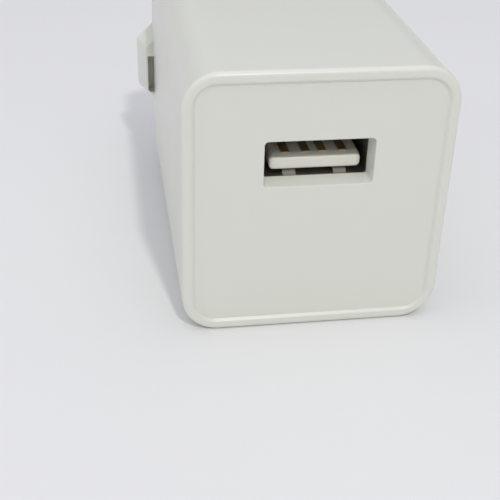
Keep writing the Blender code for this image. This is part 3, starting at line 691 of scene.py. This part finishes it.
def paint_inner_parts():
    """Surfaces for the board and the parts on it, by their material slots."""
    looks = {
        "contact_strip": plated("tinned_strip", (0.62, 0.62, 0.60), 0.3, (1, 1, 8)),
        "board": moulded("solder_mask", (0.05, 0.22, 0.09), 0.3, 0.25, 1.5 * MM, 0.01 * MM, 0.3 * MM),
        "ferrite": moulded("ferrite", (0.05, 0.05, 0.055), 0.6, 0.3, 0.6 * MM, 0.02 * MM, 0.15 * MM),
        "bobbin_plastic": moulded("phenolic", (0.03, 0.03, 0.03), 0.5, 0.2, 2 * MM),
        "winding_tape": moulded("polyester_tape", (0.85, 0.65, 0.08), 0.35, 0.08, 3 * MM, 0.01 * MM),
        "can_sleeve": moulded("shrink_sleeve", (0.04, 0.05, 0.09), 0.3, 0.15, 3 * MM, 0.01 * MM),
        "choke_sleeve": moulded("choke_sleeve", (0.05, 0.22, 0.09), 0.3, 0.15, 3 * MM, 0.02 * MM),
        "resistor_coat": moulded("resistor_coat", (0.05, 0.22, 0.09), 0.4, 0.15, 1 * MM, 0.02 * MM),
        "blue_ceramic": moulded("blue_dip", (0.06, 0.18, 0.50), 0.4, 0.12, 2 * MM, 0.03 * MM),
        "brown_ceramic": moulded("brown_dip", (0.35, 0.20, 0.10), 0.45, 0.12, 2 * MM, 0.03 * MM),
        "chip_package": moulded("chip_epoxy", (0.03, 0.03, 0.03), 0.55, 0.25, 0.5 * MM, 0.01 * MM, 0.1 * MM),
        "barrier_sheet": moulded("barrier_sheet", (0.85, 0.83, 0.75), 0.3, 0.03, 5 * MM),
    }
    slot_of = {row["node"]: row["material_slot"] for row in frame["record"]["subparts"]}
    for name, node in frame["nodes"].items():
        slot = slot_of[name]
        if slot in looks:
            node.data.materials.clear()
            node.data.materials.append(looks[slot])


# ---------------------------------------------------------------- stage

def add_floor():
    """Large pale table top."""
    bm = bmesh.new()
    bmesh.ops.create_grid(bm, x_segments=1, y_segments=1, size=FLOOR_HALF_SIZE)
    floor = mesh_object("floor", bm)
    surface, tree, shader = shader_of("table_top", 0.6)
    place = place_nodes(tree)
    clouds = noise(tree, place, FLOOR_CLOUDS)
    tree.links.new(blend(tree, clouds, *FLOOR_COLOURS), shader.inputs["Base Color"])
    bump(tree, shader, noise(tree, place, FLOOR_GRAIN_SIZE), FLOOR_GRAIN)
    floor.data.materials.append(surface)


def add_area_light(name, place, target, size, power, colour):
    """Round soft light aimed at a point."""
    data = bpy.data.lights.new(name, "AREA")
    data.shape = "DISK"
    data.size = size
    data.energy = power
    data.color = colour
    light = bpy.data.objects.new(name, data)
    light.location = place
    light.rotation_euler = (target - place).to_track_quat("-Z", "Y").to_euler()
    bpy.context.scene.collection.objects.link(light)


def add_surroundings():
    """Pale surroundings, brightest overhead, with a pale band at the horizon."""
    world = bpy.data.worlds.new("surroundings")
    world.use_nodes = True
    background = world.node_tree.nodes["Background"]
    background.inputs["Color"].default_value = (*WORLD_COLOUR, 1.0)
    nodes, links = world.node_tree.nodes, world.node_tree.links
    parts = nodes.new("ShaderNodeSeparateXYZ")
    links.new(nodes.new("ShaderNodeTexCoord").outputs["Generated"], parts.inputs["Vector"])
    square = nodes.new("ShaderNodeMath")
    square.operation = "MULTIPLY"
    sky = nodes.new("ShaderNodeMapRange")
    sky.inputs["To Min"].default_value = WORLD_LEVEL
    sky.inputs["To Max"].default_value = WORLD_LEVEL + WORLD_OVERHEAD
    glow = nodes.new("ShaderNodeMapRange")
    glow.inputs["From Max"].default_value = HORIZON_BAND
    glow.inputs["To Min"].default_value = HORIZON_GLOW
    glow.inputs["To Max"].default_value = 0.0
    total = nodes.new("ShaderNodeMath")
    links.new(parts.outputs["Z"], square.inputs[0])
    links.new(parts.outputs["Z"], square.inputs[1])
    links.new(square.outputs["Value"], sky.inputs["Value"])
    links.new(parts.outputs["Z"], glow.inputs["Value"])
    links.new(sky.outputs["Result"], total.inputs[0])
    links.new(glow.outputs["Result"], total.inputs[1])
    links.new(total.outputs["Value"], background.inputs["Strength"])
    bpy.context.scene.world = world


def add_lights():
    """A key light from above the front and a fill from the left."""
    target = at(0, LIGHT_TARGET_DEPTH, MID_Z)
    add_area_light("key", target + KEY_PLACE, target, KEY_SIZE, KEY_POWER, KEY_COLOUR)
    add_area_light("fill", target + FILL_PLACE, target, FILL_SIZE, FILL_POWER, FILL_COLOUR)


def add_camera():
    """Camera in front of the charger, above it and a little to its left."""
    data = bpy.data.cameras.new("camera")
    data.sensor_width = CAMERA_SENSOR
    data.lens = CAMERA_LENS
    data.clip_start = CAMERA_CLIP
    camera = bpy.data.objects.new("camera", data)
    front_centre = at(0, 0, MID_Z)
    aim = (CAMERA_AIM - CAMERA_PLACE).to_track_quat("-Z", "Y").to_matrix().to_4x4()
    roll = Matrix.Rotation(CAMERA_ROLL, 4, "Z")
    camera.matrix_world = Matrix.Translation(front_centre + CAMERA_PLACE) @ aim @ roll
    bpy.context.scene.collection.objects.link(camera)
    bpy.context.scene.camera = camera


def build_charger():
    """All visible pieces of the charger."""
    white = moulded("white_plastic", (0.80, 0.81, 0.74), 0.31, mottle=0.0015, mottle_size=9 * MM,
                    grain=0.0005 * MM, grain_size=0.8 * MM, specks=0.4)
    black = moulded("black_plastic", (0.02, 0.02, 0.021), 0.42, mottle=0.15, mottle_size=3 * MM,
                    grain=0.004 * MM, grain_size=0.2 * MM)
    ivory = moulded("ivory_plastic", (0.86, 0.85, 0.77), 0.35, mottle=0.03, mottle_size=2 * MM,
                    grain=0.002 * MM, grain_size=0.3 * MM)
    nickel = plated("nickel_plate", (0.75, 0.74, 0.70), 0.2, brushing=(1, 0.15, 1))
    steel = plated("steel_sheet", (0.36, 0.34, 0.31), 0.38, brushing=(4, 1, 1))
    gold = plated("gold_plate", (0.58, 0.44, 0.24), 0.5, brushing=(4, 1, 1), mottle=0.25)
    build_sleeve(white)
    build_panel(white)
    build_base(white)
    build_pins(nickel, black)
    build_shell(steel)
    build_tongue(ivory)
    build_contacts(gold)
    paint_inner_parts()


bpy.context.scene.view_settings.view_transform = "Standard"
add_camera()
add_floor()
add_surroundings()
add_lights()
build_charger()
